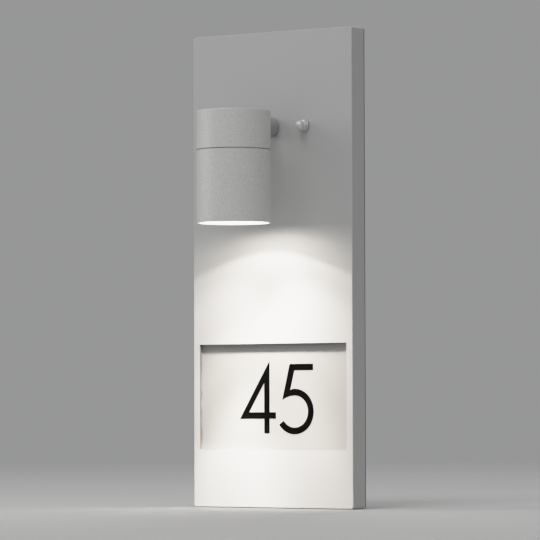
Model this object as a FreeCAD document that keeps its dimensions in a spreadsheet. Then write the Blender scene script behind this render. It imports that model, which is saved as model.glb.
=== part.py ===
import FreeCAD, Part
import math
import os
import re
import Sketcher

# Illuminated house number sign: a folded aluminium tray with a number window,
# a cylindrical down-light on a short arm, and the bracket that it hangs from.
# Millimetres. +X to the right, +Y into the mounting face, +Z up. The origin
# is on the mounting face, midway between the two fixing studs, on the line of
# the arm.

Vector = FreeCAD.Vector
Rotation = FreeCAD.Rotation

DIMENSIONS = {
    # tray
    "panel_width": 165,
    "panel_height": 410,
    "panel_depth": 19,
    "panel_rise": 82.5,
    "panel_corner": 2.0,
    "panel_inner_corner": 0.8,
    "panel_front_edge": 0.7,
    "sheet_thick": 1.5,
    # rubber edging behind the tray's rim
    "rim_seal_foot": 1.5,
    "rim_seal_width": 6,
    "rim_seal_inset": 0.4,
    "rim_seal_lip": 5,
    "rim_seal_lip_thick": 1.5,
    # number window and what closes it
    "window_side_margin": 6.5,
    "window_height": 91.1,
    "window_rise": 49.9,
    "window_corner": 0.5,
    "gasket_thick": 3.1,
    "gasket_setback": 0.6,
    "plate_thick": 3,
    "plate_overlap": 3.5,
    "plate_corner": 1.5,
    # clips that hold the number plate
    "clip_width": 16,
    "clip_thick": 1.2,
    "clip_finger": 7,
    "clip_foot": 13,
    "clip_gap": 0.4,
    "clip_inset": 19.5,
    "clip_stud_offset": 7,
    "small_stud_dia": 3,
    "small_stud_proud": 1.2,
    "small_nut_flats": 5.5,
    "small_nut_thick": 2.4,
    # mounting bracket
    "bracket_rise": 14,
    "bracket_drop": 30,
    "bracket_ear_drop": 14,
    "bracket_thick": 1.5,
    "bracket_raise": 4,
    "bracket_foot": 14.5,
    "bracket_waist": 64,
    "bracket_corner": 2.5,
    "slot_inset": 8,
    "slot_width": 5.5,
    "slot_length": 10,
    # fixing studs and their nuts
    "stud_spacing": 68,
    "stud_dia": 5,
    "stud_head_dia": 8,
    "stud_head_thick": 2.2,
    "stud_head_clear": 0.5,
    "stud_reach": 27,
    "locknut_flats": 8,
    "locknut_thick": 2.7,
    "stud_hole_clear": 0.3,
    "cap_seal_dia": 9.4,
    "cap_seal_thick": 0.8,
    "cap_washer_dia": 10,
    "cap_washer_thick": 1.0,
    "cap_nut_flats": 8,
    "cap_nut_hex_thick": 3.4,
    "cap_nut_dome_dia": 7.5,
    "cap_nut_length": 9,
    "cap_nut_wall": 2.2,
    "cap_nut_fit": 0.06,
    # supply cable entry and bracket earth screw
    "entry_offset": 20,
    "entry_drop": 16,
    "entry_bore_dia": 8.5,
    "entry_hole_dia": 13,
    "entry_flange_dia": 17,
    "entry_flange_thick": 1.8,
    "earth_offset": 20,
    "earth_drop": 16,
    "earth_screw_dia": 4,
    "earth_head_dia": 8,
    "earth_head_thick": 2.6,
    "earth_washer_dia": 10,
    "earth_washer_thick": 0.8,
    "earth_screw_proud": 1,
    # arm and the hollow rod that clamps it
    "arm_dia": 16.5,
    "arm_seal_thick": 1.0,
    "arm_seal_dia": 15.6,
    "rod_dia": 10,
    "rod_bore_dia": 8,
    "rod_hole_clear": 0.1,
    "rod_nut_flats": 14,
    "rod_nut_thick": 3,
    "rod_washer_dia": 15,
    "rod_washer_thick": 1,
    "rod_proud": 0.8,
    # lamp head
    "lamp_dia": 63,
    "lamp_reach": 57.5,
    "cap_rise": 10.4,
    "cap_height": 33,
    "cap_top_thick": 2.5,
    "cap_top_edge": 1.0,
    "spigot_length": 9,
    "spigot_wall": 2,
    "spigot_fit": 0.08,
    "spigot_chamfer": 0.8,
    "rod_seat_dia": 15.6,
    "rod_seat_proud": 0.1,
    "boss_spacing": 40,
    "boss_dia": 7,
    "head_seal_thick": 0.7,
    "head_seal_inset": 0.5,
    # sleeve and its glass
    "sleeve_height": 61.8,
    "sleeve_wall": 2.2,
    "sleeve_rim": 0.9,
    "glass_thick": 3.6,
    "glass_recess": 0.2,
    "glass_edge": 0.3,
    "glass_seal_top": 0.8,
    "glass_seal_side": 0.6,
    "glass_seal_reach": 1.8,
    # reflector bulb
    "bulb_dia": 50,
    "bulb_height": 46.5,
    "bulb_gap": 5.5,
    "bulb_base_dia": 20,
    "bulb_base_height": 12,
    "bulb_rim_height": 5,
    "bulb_bell_bow": 42,
    "lens_dia": 45,
    "lens_depth": 1.5,
    "lens_crown": 0.8,
    "lens_face_bow": 315,
    "pin_spacing": 10,
    "pin_neck_dia": 3,
    "pin_neck_length": 3,
    "pin_head_dia": 5,
    "pin_head_thick": 2.4,
    # lamp holder
    "socket_dia": 30,
    "socket_height": 17,
    "socket_gap": 0.3,
    "socket_face_thick": 2.4,
    "socket_chamber_depth": 5,
    "slot_clear": 0.3,
    "chamber_clear": 0.6,
    "twist_angle": 40,
    "strap_width": 12,
    "strap_thick": 1.2,
    "strap_end_margin": 5,
    "holder_screw_spacing": 23,
    "holder_screw_dia": 2.5,
    "holder_head_dia": 4.4,
    "holder_head_thick": 1.8,
    "holder_head_sink": 3,
    "holder_screw_proud": 0.5,
    "boss_screw_dia": 3,
    "boss_screw_grip": 8,
    "boss_head_dia": 5.5,
    "boss_head_thick": 2,
    # wiring
    "lead_dia": 1.8,
    "lead_pitch": 2.3,
    "lead_bend": 5.4,
    "lead_drop_inset": 9,
    "lead_entry_spacing": 8,
    "earth_lead_drop": 2.9,
    "tag_thick": 0.6,
    "tag_ring_dia": 9,
    "tag_hole_dia": 4.2,
    "tag_stem": 6,
    "tag_barrel_dia": 3,
    "tag_barrel_length": 3.6,
    "tag_boss_height": 2.5,
    "tag_boss_inset": 14.5,
    "tag_screw_dia": 4,
    "tag_head_dia": 7,
    "tag_head_thick": 2.2,
    # terminal block
    "terminal_drop": 42,
    "terminal_height": 20,
    "terminal_depth": 15,
    "terminal_pitch": 9,
    "terminal_margin": 1.5,
    "terminal_groove": 1.2,
    "terminal_screw_dia": 3.6,
    "terminal_well_dia": 4.4,
    "terminal_well_depth": 5,
    "terminal_screw_pitch": 10,
    "terminal_screw_length": 3.5,
    "terminal_fix_sink": 7,
    "terminal_fix_well_dia": 6.8,
}

doc = FreeCAD.newDocument("HouseNumberSign")
sheet = doc.addObject("Spreadsheet::Sheet", "Dims")
for row, (alias, size) in enumerate(DIMENSIONS.items(), start=1):
    sheet.set(f"A{row}", alias)
    sheet.set(f"B{row}", str(size))
    sheet.setAlias(f"B{row}", alias)
doc.recompute()

# Places worked out from the driving dimensions, as expressions on the sheet.
# Depths are measured along Y, heights along Z, radii from an axis.
PANEL_BACK = "(-rim_seal_foot)"
PANEL_FRONT = "(-rim_seal_foot - panel_depth)"
PANEL_INSIDE = f"({PANEL_FRONT} + sheet_thick)"
PANEL_MIDDLE = "(panel_rise - panel_height / 2)"
WINDOW_WIDTH = "(panel_width - 2 * window_side_margin)"
WINDOW_MIDDLE = "(panel_rise - panel_height + window_rise + window_height / 2)"
PLATE_FRONT = f"({PANEL_INSIDE} + gasket_thick)"
PLATE_BACK = f"({PLATE_FRONT} + plate_thick)"
PLATE_WIDTH = f"({WINDOW_WIDTH} + 2 * plate_overlap)"
PLATE_HEIGHT = "(window_height + 2 * plate_overlap)"
CLIP_FOOT_BACK = f"({PANEL_INSIDE} + clip_thick)"
BRACKET_BACK = "(-bracket_raise)"
BRACKET_FRONT = "(-bracket_raise - bracket_thick)"
BRACKET_CREST = "((stud_spacing + stud_head_dia) / 2 + stud_head_clear)"
BRACKET_FOOT = f"({BRACKET_CREST} + bracket_raise)"
BRACKET_END = f"({BRACKET_FOOT} + bracket_foot)"
ARM_ROOT = f"({PANEL_FRONT} - arm_seal_thick)"
LAMP_AXIS = f"({PANEL_FRONT} - lamp_reach)"
LAMP_RADIUS = "(lamp_dia / 2)"
SLEEVE_BORE = "(lamp_dia / 2 - sleeve_wall)"
SPIGOT_RADIUS = f"({SLEEVE_BORE} - spigot_fit)"
CAP_BORE = f"({SPIGOT_RADIUS} - spigot_wall)"
CAP_SEAT = f"(sqrt({CAP_BORE}^2 - (rod_seat_dia / 2)^2) - rod_seat_proud)"
CAP_CEILING = "(cap_rise - cap_top_thick)"
CAP_SHOULDER = "(cap_rise - cap_height)"
SLEEVE_TOP = f"({CAP_SHOULDER} - head_seal_thick)"
SLEEVE_BOTTOM = f"({SLEEVE_TOP} - sleeve_height)"
GLASS_BOTTOM = f"({SLEEVE_BOTTOM} + glass_recess)"
GLASS_TOP = f"({GLASS_BOTTOM} + glass_thick)"
REBATE_RADIUS = f"({LAMP_RADIUS} - sleeve_rim)"
REBATE_TOP = f"({GLASS_TOP} + glass_seal_top)"
GLASS_RADIUS = f"({REBATE_RADIUS} - glass_seal_side)"
BULB_BOTTOM = f"({GLASS_TOP} + bulb_gap)"
BULB_TOP = f"({BULB_BOTTOM} + bulb_height)"
SOCKET_FACE = f"({BULB_TOP} + socket_gap)"
SOCKET_TOP = f"({SOCKET_FACE} + socket_height)"
STRAP_TOP = f"({SOCKET_TOP} + strap_thick)"
ROD_SEAT = f"({LAMP_AXIS} + {CAP_SEAT})"
ROD_HEAD_END = f"({ROD_SEAT} - rod_washer_thick - rod_nut_thick - rod_proud)"
ROD_PANEL_END = f"({PANEL_INSIDE} + rod_washer_thick + rod_nut_thick + rod_proud)"
TAG_DEPTH = f"({LAMP_AXIS} + tag_boss_inset)"
TAG_TOP = f"({CAP_CEILING} - tag_boss_height)"
TERMINAL_WIDTH = "(3 * terminal_pitch + 2 * terminal_margin)"
TERMINAL_BACK = f"({PANEL_INSIDE} + terminal_depth)"
TERMINAL_MIDDLE = "(-terminal_drop - terminal_height / 2)"

# Directions in which a turned part or a cylinder is laid.
UP = Rotation()
OUTWARD = Rotation(Vector(1, 0, 0), 90)
INWARD = Rotation(Vector(1, 0, 0), -90)
BOTH_SIDES = (-1, 1)

# Shares of a lead's run that its bends may take: at an end, and in the middle.
END_RUN_SHARE = 0.95
MIDDLE_RUN_SHARE = 0.48


def number(expression):
    """The value of an expression on the sheet."""
    return float(sheet.evalExpression(str(expression)))


def bound(expression):
    """The same expression as another object has to write it."""
    def qualify(word):
        name = word.group(0)
        return f"Dims.{name}" if name in DIMENSIONS else name
    return re.sub(r"[a-z_]+", qualify, str(expression))


def bind(target, **expressions):
    """Bind properties of an object, such as Length, to sheet expressions."""
    for prop, expression in expressions.items():
        target.setExpression(prop, bound(expression))


def place(target, x="0", y="0", z="0", turn=UP):
    """Put an object at a bound place, turned as given."""
    target.Placement = FreeCAD.Placement(Vector(number(x), number(y), number(z)), turn)
    for axis, expression in zip("xyz", (x, y, z)):
        target.setExpression(f"Placement.Base.{axis}", bound(expression))
    return target


# ---- sketch and body helpers ----

def new_body(label):
    body = doc.addObject("PartDesign::Body", label)
    body.Label = label
    return body


def new_sketch(body, role, offset="0"):
    """A sketch on one of the body's own planes, moved along its normal."""
    plane = next(item for item in body.Origin.OriginFeatures if item.Role == role)
    sketch = body.newObject("Sketcher::SketchObject", "Sketch")
    sketch.AttachmentSupport = [(plane, "")]
    sketch.MapMode = "FlatFace"
    sketch.setExpression("AttachmentOffset.Base.z", bound(offset))
    return sketch


def pin_point(sketch, element, point, x, y):
    """Hold a sketch point at bound distances from the sketch's origin."""
    for kind, expression in (("DistanceX", x), ("DistanceY", y)):
        rule = Sketcher.Constraint(kind, -1, 1, element, point, number(expression))
        index = sketch.addConstraint(rule)
        sketch.setExpression(f"Constraints[{index}]", bound(expression))


def arc_between(start, end, radius):
    """An arc from start to end: anticlockwise, or clockwise for a negative radius."""
    chord = end - start
    left = Vector(-chord.y, chord.x, 0).normalize()
    height = max(radius ** 2 - (chord.Length / 2) ** 2, 0) ** 0.5
    centre = (start + end) * 0.5 + left * math.copysign(height, radius)
    first, last = (start, end) if radius > 0 else (end, start)
    angles = [math.atan2(point.y - centre.y, point.x - centre.x) for point in (first, last)]
    circle = Part.Circle(centre, Vector(0, 0, 1), abs(radius))
    return Part.ArcOfCircle(circle, *angles)


def draw_outline(sketch, corners):
    """A closed outline of corners (x, y), or (x, y, radius) where an arc leads to one."""
    points = [Vector(number(corner[0]), number(corner[1]), 0) for corner in corners]
    ends = []
    for index, corner in enumerate(corners):
        start, end = points[index - 1], points[index]
        if len(corner) == 2:
            element = sketch.addGeometry(Part.LineSegment(start, end), False)
            ends.append((element, 1, 2))
            continue
        radius = number(corner[2])
        element = sketch.addGeometry(arc_between(start, end, radius), False)
        ends.append((element, 1, 2) if radius > 0 else (element, 2, 1))
        rule = sketch.addConstraint(Sketcher.Constraint("Radius", element, abs(radius)))
        sketch.setExpression(f"Constraints[{rule}]", bound(f"abs({corner[2]})"))
    for index, corner in enumerate(corners):
        element, _, last = ends[index]
        following, first, _ = ends[(index + 1) % len(ends)]
        sketch.addConstraint(Sketcher.Constraint("Coincident", element, last, following, first))
        pin_point(sketch, element, last, corner[0], corner[1])


def draw_rectangle(sketch, width, height, middle="0", across="0"):
    left, right = f"{across} - {width} / 2", f"{across} + {width} / 2"
    low, high = f"{middle} - {height} / 2", f"{middle} + {height} / 2"
    draw_outline(sketch, [(left, low), (right, low), (right, high), (left, high)])


def draw_circle(sketch, radius, x="0", y="0"):
    centre = Vector(number(x), number(y), 0)
    element = sketch.addGeometry(Part.Circle(centre, Vector(0, 0, 1), number(radius)), False)
    rule = sketch.addConstraint(Sketcher.Constraint("Radius", element, number(radius)))
    sketch.setExpression(f"Constraints[{rule}]", bound(radius))
    pin_point(sketch, element, 3, x, y)


def pad(body, sketch, length, backwards=False):
    feature = body.newObject("PartDesign::Pad", "Pad")
    feature.Profile = sketch
    feature.Reversed = backwards
    bind(feature, Length=length)
    sketch.Visibility = False
    doc.recompute()
    return feature


def cut_feature(body, sketch, settings, expressions):
    """A pocket, which has to take something away."""
    before = body.Shape.Volume
    feature = body.newObject("PartDesign::Pocket", "Pocket")
    feature.Profile = sketch
    for prop, setting in settings.items():
        setattr(feature, prop, setting)
    bind(feature, **expressions)
    doc.recompute()
    if body.Shape.Volume > before - 1e-6:
        raise RuntimeError(f"{body.Label}: a pocket cuts nothing")
    return feature


def pocket(body, sketch, depth, backwards=False):
    return cut_feature(body, sketch, {"Reversed": backwards}, {"Length": depth})


def pocket_through(body, sketch):
    settings = {"Type": "ThroughAll", "Midplane": True}
    return cut_feature(body, sketch, settings, {})


def round_edges(body, radius, wanted, kind="Fillet"):
    """Round or chamfer every edge of the body's tip that passes the test."""
    base = body.Tip
    names = [f"Edge{index}" for index, edge in enumerate(base.Shape.Edges, start=1)
             if wanted(edge)]
    if not names:
        raise RuntimeError(f"{body.Label}: no edge to round")
    feature = body.newObject(f"PartDesign::{kind}", kind)
    feature.Base = (base, names)
    bind(feature, **{"Radius" if kind == "Fillet" else "Size": radius})
    doc.recompute()
    return feature


def runs_along(edge, axis):
    """True for a straight edge parallel to the named axis."""
    if edge.Curve.TypeId != "Part::GeomLine":
        return False
    return abs(abs(getattr(edge.Curve.Direction, axis)) - 1) < 1e-6


def turned(label, corners, **where):
    """A solid turned about its own Z axis from a radius and height outline."""
    body = new_body(label)
    sketch = new_sketch(body, "XZ_Plane")
    draw_outline(sketch, corners)
    feature = body.newObject("PartDesign::Revolution", "Revolution")
    feature.Profile = sketch
    feature.ReferenceAxis = (sketch, ["V_Axis"])
    feature.Angle = 360
    sketch.Visibility = False
    doc.recompute()
    place(body, **where)
    return body


# ---- primitive helpers ----

def cylinder(label, radius, length, **where):
    rod = doc.addObject("Part::Cylinder", label)
    bind(rod, Radius=radius, Height=length)
    return place(rod, **where)


def hexagon(label, flats, length, **where):
    prism = doc.addObject("Part::Prism", label)
    prism.Polygon = 6
    bind(prism, Circumradius=f"({flats}) / sqrt(3)", Height=length)
    return place(prism, **where)


def block(label, size, corner):
    """A box from its size and lowest corner, each three expressions."""
    box = doc.addObject("Part::Box", label)
    bind(box, Length=size[0], Width=size[1], Height=size[2])
    return place(box, *corner)


def fused(label, parts):
    union = doc.addObject("Part::MultiFuse", label)
    union.Shapes = parts
    union.Refine = True
    return union


def cut_from(label, base, tools):
    tool = tools[0] if len(tools) == 1 else fused(f"{label}_tools", tools)
    result = doc.addObject("Part::Cut", label)
    result.Base = base
    result.Tool = tool
    result.Refine = True
    return result


def group(label, members):
    """One sub-part made of separate solids, such as a set of like nuts."""
    compound = doc.addObject("Part::Compound", label)
    compound.Links = members
    return compound


def hex_nut(label, flats, thick, bore_radius, **where):
    blank = hexagon(f"{label}_blank", flats, thick, **where)
    bore = cylinder(f"{label}_bore", bore_radius, thick, **where)
    return cut_from(label, blank, [bore])


def ring(label, outer_radius, inner_radius, thick, **where):
    blank = cylinder(f"{label}_blank", outer_radius, thick, **where)
    bore = cylinder(f"{label}_bore", inner_radius, thick, **where)
    return cut_from(label, blank, [bore])


def headed_screw(label, head_dia, head_thick, shank_dia, shank_length, **where):
    """A screw whose head starts at the given place; its shank follows."""
    shank_top = f"{head_thick} + {shank_length}"
    outline = [
        ("0", "0"),
        (f"{head_dia} / 2", "0"),
        (f"{head_dia} / 2", head_thick),
        (f"{shank_dia} / 2", head_thick),
        (f"{shank_dia} / 2", shank_top),
        ("0", shank_top),
    ]
    return turned(label, outline, **where)


# ---- tray, edging and number window ----

def front_panel():
    """Tray folded from sheet, open at the back, with its window and holes."""
    body = new_body("front_panel")
    outline = new_sketch(body, "XZ_Plane", f"-{PANEL_BACK}")
    draw_rectangle(outline, "panel_width", "panel_height", PANEL_MIDDLE)
    pad(body, outline, "panel_depth")
    round_edges(body, "panel_corner", lambda edge: runs_along(edge, "y"))
    front = number(PANEL_FRONT)
    round_edges(body, "panel_front_edge",
                lambda edge: all(abs(end.Y - front) < 1e-6 for end in edge.Vertexes))
    hollow = new_sketch(body, "XZ_Plane", f"-{PANEL_BACK}")
    draw_rectangle(hollow, "(panel_width - 2 * sheet_thick)",
                   "(panel_height - 2 * sheet_thick)", PANEL_MIDDLE)
    pocket(body, hollow, "panel_depth - sheet_thick", backwards=True)
    inner_side = number("panel_width / 2 - sheet_thick")
    round_edges(body, "panel_inner_corner",
                lambda edge: runs_along(edge, "y")
                and abs(abs(edge.Vertexes[0].X) - inner_side) < 1e-6)
    window = new_sketch(body, "XZ_Plane")
    draw_rectangle(window, WINDOW_WIDTH, "window_height", WINDOW_MIDDLE)
    pocket_through(body, window)
    window_side = number(f"{WINDOW_WIDTH} / 2")
    round_edges(body, "window_corner",
                lambda edge: runs_along(edge, "y")
                and abs(abs(edge.Vertexes[0].X) - window_side) < 1e-6)
    holes = new_sketch(body, "XZ_Plane")
    draw_circle(holes, "rod_dia / 2 + rod_hole_clear")
    for side in BOTH_SIDES:
        draw_circle(holes, "stud_dia / 2 + stud_hole_clear", f"{side} * stud_spacing / 2")
    pocket_through(body, holes)
    return body


def frame_ring(body, offset, thick, outside, inside, middle, backwards=False):
    """Pad a rectangular frame; outside and inside are width and height."""
    sketch = new_sketch(body, "XZ_Plane", offset)
    draw_rectangle(sketch, outside[0], outside[1], middle)
    draw_rectangle(sketch, inside[0], inside[1], middle)
    pad(body, sketch, thick, backwards)


def inset(by):
    """Width and height of the tray's outline, drawn in by a wall."""
    return f"(panel_width - 2 * ({by}))", f"(panel_height - 2 * ({by}))"


def rim_seal():
    """L-section rubber edging: a foot under the rim and a lip inside it."""
    body = new_body("rim_seal")
    frame_ring(body, "0", "rim_seal_foot", inset("rim_seal_inset"),
               inset("rim_seal_inset + rim_seal_width"), PANEL_MIDDLE)
    frame_ring(body, "rim_seal_foot", "rim_seal_lip", inset("sheet_thick"),
               inset("sheet_thick + rim_seal_lip_thick"), PANEL_MIDDLE)
    corner_side = number("panel_width / 2 - rim_seal_inset")
    round_edges(body, "panel_corner - rim_seal_inset",
                lambda edge: runs_along(edge, "y")
                and abs(abs(edge.Vertexes[0].X) - corner_side) < 1e-6)
    lip_side = number("panel_width / 2 - sheet_thick")
    round_edges(body, "panel_inner_corner",
                lambda edge: runs_along(edge, "y")
                and abs(abs(edge.Vertexes[0].X) - lip_side) < 1e-6)
    return body


def window_gasket():
    """Rubber frame between the tray's face and the number plate."""
    body = new_body("window_gasket")
    opening = (f"({WINDOW_WIDTH} + 2 * gasket_setback)",
               "(window_height + 2 * gasket_setback)")
    frame_ring(body, f"-{PLATE_FRONT}", "gasket_thick", (PLATE_WIDTH, PLATE_HEIGHT),
               opening, WINDOW_MIDDLE)
    return body


def number_plate():
    """Plain plate behind the window, on which the numerals are stuck."""
    body = new_body("number_plate")
    sketch = new_sketch(body, "XZ_Plane", f"-{PLATE_BACK}")
    draw_rectangle(sketch, PLATE_WIDTH, PLATE_HEIGHT, WINDOW_MIDDLE)
    pad(body, sketch, "plate_thick")
    round_edges(body, "plate_corner", lambda edge: runs_along(edge, "y"))
    return body


def plate_edge(side):
    """Height of the number plate's upper (1) or lower (-1) edge."""
    return f"({WINDOW_MIDDLE} + {side} * {PLATE_HEIGHT} / 2)"


def clip_fixings():
    """Each corner of the number plate: a Z clip on a welded stud, and its nut."""
    clips, studs, nuts = [], [], []
    finger_top = f"({PLATE_BACK} + clip_thick)"
    for side in BOTH_SIDES:
        edge = plate_edge(side)
        riser = f"({edge} + {side} * clip_gap)"
        outline = [
            (PANEL_INSIDE, f"{riser} + {side} * clip_foot"),
            (PANEL_INSIDE, riser),
            (PLATE_BACK, riser),
            (PLATE_BACK, f"{edge} - {side} * clip_finger"),
            (finger_top, f"{edge} - {side} * clip_finger"),
            (finger_top, f"{riser} + {side} * clip_thick"),
            (CLIP_FOOT_BACK, f"{riser} + {side} * clip_thick"),
            (CLIP_FOOT_BACK, f"{riser} + {side} * clip_foot"),
        ]
        stud_height = f"{edge} + {side} * clip_stud_offset"
        for hand in BOTH_SIDES:
            across = f"{hand} * ({PLATE_WIDTH} / 2 - clip_inset)"
            clip = new_body("clip")
            profile = new_sketch(clip, "YZ_Plane", f"{across} - clip_width / 2")
            draw_outline(profile, outline)
            pad(clip, profile, "clip_width")
            hole = new_sketch(clip, "XZ_Plane")
            draw_circle(hole, "small_stud_dia / 2", across, stud_height)
            pocket_through(clip, hole)
            clips.append(clip)
            length = "clip_thick + small_nut_thick + small_stud_proud"
            studs.append(cylinder("clip_stud", "small_stud_dia / 2", length,
                                  x=across, y=PANEL_INSIDE, z=stud_height, turn=INWARD))
            nuts.append(hex_nut("clip_nut", "small_nut_flats", "small_nut_thick",
                                "small_stud_dia / 2", x=across, y=CLIP_FOOT_BACK,
                                z=stud_height, turn=INWARD))
    return group("plate_clips", clips), group("clip_studs", studs), group("clip_nuts", nuts)


# ---- bracket on the mounting face ----

def wall_bracket():
    """Pressed steel bracket: two slotted feet and a raised middle."""
    body = new_body("wall_bracket")
    profile = new_sketch(body, "XY_Plane", "-bracket_drop")
    bend = "bracket_thick * (sqrt(2) - 1)"
    right = [
        (BRACKET_CREST, BRACKET_BACK),
        (BRACKET_FOOT, "0"),
        (BRACKET_END, "0"),
        (BRACKET_END, "-bracket_thick"),
        (f"{BRACKET_FOOT} + {bend}", "-bracket_thick"),
        (f"{BRACKET_CREST} + {bend}", BRACKET_FRONT),
    ]
    left = [(f"-({x})", y) for x, y in reversed(right)]
    draw_outline(profile, right + left)
    pad(body, profile, "bracket_rise + bracket_drop")
    low_corners = new_sketch(body, "XZ_Plane")
    for side in BOTH_SIDES:
        waist = f"{side} * bracket_waist / 2"
        far = f"{side} * ({BRACKET_END} + bracket_corner)"
        low = "-bracket_drop - bracket_corner"
        draw_outline(low_corners, [(waist, low), (far, low), (far, "-bracket_ear_drop"),
                                   (waist, "-bracket_ear_drop")])
    pocket_through(body, low_corners)
    outer = number(BRACKET_END)
    round_edges(body, "bracket_corner",
                lambda edge: runs_along(edge, "y")
                and (abs(abs(edge.Vertexes[0].X) - outer) < 1e-6
                     or abs(edge.Vertexes[0].Z + number("bracket_drop")) < 1e-6))
    holes = new_sketch(body, "XZ_Plane")
    for side in BOTH_SIDES:
        draw_circle(holes, "stud_dia / 2", f"{side} * stud_spacing / 2")
        draw_slot(holes, f"{side} * ({BRACKET_END} - slot_inset)", "slot_length",
                  "slot_width")
    draw_circle(holes, "entry_hole_dia / 2", "-entry_offset", "-entry_drop")
    draw_circle(holes, "earth_screw_dia / 2", "earth_offset", "-earth_drop")
    pocket_through(body, holes)
    return body


def draw_slot(sketch, across, length, width):
    """A slot along X at the height of the origin, its ends quarter by quarter."""
    half = f"({width} / 2)"
    near = f"{across} - ({length} / 2 - {half})"
    far = f"{across} + ({length} / 2 - {half})"
    draw_outline(sketch, [
        (far, f"-{half}"),
        (f"{far} + {half}", "0", half),
        (far, half, half),
        (near, half),
        (f"{near} - {half}", "0", half),
        (near, f"-{half}", half),
    ])


def fixing_studs():
    """Two screws pushed through the bracket from behind, with their locknuts."""
    studs, nuts = [], []
    for side in BOTH_SIDES:
        across = f"{side} * stud_spacing / 2"
        studs.append(headed_screw("stud", "stud_head_dia", "stud_head_thick", "stud_dia",
                                  f"(stud_reach + {BRACKET_BACK})", x=across,
                                  y=f"{BRACKET_BACK} + stud_head_thick", turn=OUTWARD))
        nuts.append(hex_nut("locknut", "locknut_flats", "locknut_thick", "stud_dia / 2",
                            x=across, y=BRACKET_FRONT, turn=OUTWARD))
    return group("bracket_studs", studs), group("stud_locknuts", nuts)


def cable_grommet():
    """Rubber grommet in the bracket, through which the supply cable comes."""
    bore, neck, flange = (f"{name} / 2" for name in
                          ("entry_bore_dia", "entry_hole_dia", "entry_flange_dia"))
    front = "(entry_flange_thick + bracket_thick)"
    outline = [
        (bore, "0"),
        (flange, "0"),
        (flange, "entry_flange_thick"),
        (neck, "entry_flange_thick"),
        (neck, front),
        (flange, front),
        (f"{flange} - entry_flange_thick / 2", f"{front} + entry_flange_thick"),
        (bore, f"{front} + entry_flange_thick"),
    ]
    return turned("cable_grommet", outline, x="-entry_offset",
                  y=f"{BRACKET_BACK} + entry_flange_thick", z="-entry_drop", turn=OUTWARD)


def bracket_earth():
    """Earth screw on the bracket with its washer."""
    where = {"x": "earth_offset", "z": "-earth_drop"}
    head_front = f"{BRACKET_FRONT} - earth_washer_thick - earth_head_thick"
    screw = headed_screw("earth_screw", "earth_head_dia", "earth_head_thick",
                         "earth_screw_dia",
                         "(earth_washer_thick + bracket_thick + earth_screw_proud)",
                         y=head_front, turn=INWARD, **where)
    washer = ring("earth_washer", "earth_washer_dia / 2", "earth_screw_dia / 2",
                  "earth_washer_thick", y=BRACKET_FRONT, turn=OUTWARD, **where)
    return screw, washer


def cap_nut_sets():
    """On each stud, outside the tray: rubber seal, washer and domed nut."""
    seals, washers, nuts = [], [], []
    washer_back = f"({PANEL_FRONT} - cap_seal_thick)"
    nut_back = f"({washer_back} - cap_washer_thick)"
    hole = "(stud_dia / 2 + stud_hole_clear)"
    bore = "(stud_dia / 2 + cap_nut_fit)"
    for side in BOTH_SIDES:
        where = {"x": f"{side} * stud_spacing / 2", "turn": OUTWARD}
        seals.append(ring("cap_seal", "cap_seal_dia / 2", hole, "cap_seal_thick",
                          y=PANEL_FRONT, **where))
        washers.append(ring("cap_washer", "cap_washer_dia / 2", hole, "cap_washer_thick",
                            y=washer_back, **where))
        crown = "cap_nut_dome_dia / 2"
        neck = turned("cap_nut_crown", [
            ("0", "0"),
            (crown, "0"),
            (crown, f"cap_nut_length - {crown}"),
            ("0", "cap_nut_length", crown),
        ], y=nut_back, **where)
        hexed = hexagon("cap_nut_hex", "cap_nut_flats", "cap_nut_hex_thick",
                        y=nut_back, **where)
        hollow = cylinder("cap_nut_bore", bore, "cap_nut_length - cap_nut_wall",
                          y=nut_back, **where)
        nuts.append(cut_from("cap_nut", fused("cap_nut_blank", [hexed, neck]), [hollow]))
    return group("cap_nut_seals", seals), group("cap_washers", washers), group("cap_nuts", nuts)


# ---- arm ----

def arm():
    """Round arm, saddle-cut to sit on the lamp head."""
    body = new_body("arm")
    section = new_sketch(body, "XZ_Plane", f"-{ARM_ROOT}")
    draw_circle(section, "arm_dia / 2")
    draw_circle(section, "rod_dia / 2 + rod_hole_clear")
    pad(body, section, f"{ARM_ROOT} - {LAMP_AXIS}")
    saddle = new_sketch(body, "XY_Plane")
    draw_circle(saddle, LAMP_RADIUS, "0", LAMP_AXIS)
    pocket_through(body, saddle)
    return body


def arm_fixings():
    """Seal under the arm, and the hollow rod with a nut and washer at each end."""
    seal = ring("arm_seal", "arm_seal_dia / 2", "(rod_dia / 2 + rod_hole_clear)",
                "arm_seal_thick", y=PANEL_FRONT, turn=OUTWARD)
    rod = ring("arm_rod", "rod_dia / 2", "rod_bore_dia / 2",
               f"{ROD_PANEL_END} - {ROD_HEAD_END}", y=ROD_PANEL_END, turn=OUTWARD)
    washers, nuts = [], []
    for seat, turn, away in ((PANEL_INSIDE, INWARD, "+"), (ROD_SEAT, OUTWARD, "-")):
        washers.append(ring("rod_washer", "rod_washer_dia / 2", "rod_dia / 2",
                            "rod_washer_thick", y=seat, turn=turn))
        nuts.append(hex_nut("rod_nut", "rod_nut_flats", "rod_nut_thick", "rod_dia / 2",
                            y=f"{seat} {away} rod_washer_thick", turn=turn))
    return seal, rod, group("rod_washers", washers), group("rod_nuts", nuts)


# ---- lamp head: cast cap, seal, lamp holder ----

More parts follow.
